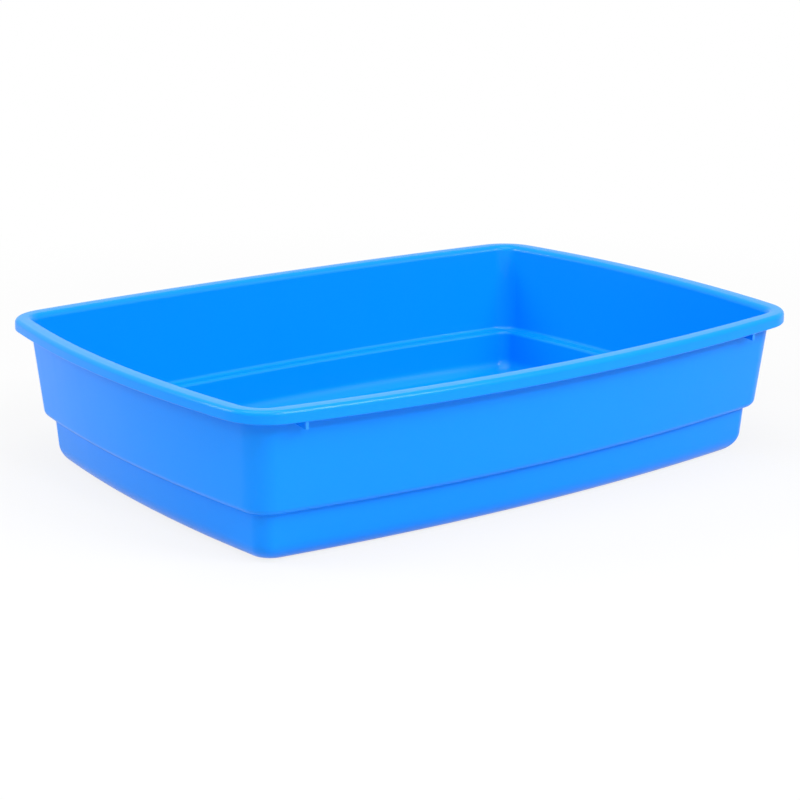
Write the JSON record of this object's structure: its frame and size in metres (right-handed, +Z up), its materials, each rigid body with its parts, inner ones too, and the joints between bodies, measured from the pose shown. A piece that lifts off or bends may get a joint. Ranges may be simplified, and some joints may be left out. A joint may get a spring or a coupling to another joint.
{
  "type": "litter tray",
  "caption": "Open rectangular litter tray, moulded whole, with bowed sides, rounded corners, a stepped ledge, a deep upper wall, a rolled rim with a hanging skirt, and small stacking lugs.",
  "frame": {"origin": "on the ground, under the middle of the tray", "axes": "+X along the length, +Y across the width, +Z up"},
  "size_m": [0.46, 0.337, 0.1004],
  "materials": {
    "blue_plastic": "smooth semi-gloss injection-moulded polypropylene in bright blue"
  },
  "bodies": {
    "root": {"tray": "blue_plastic"}
  },
  "joints": []
}
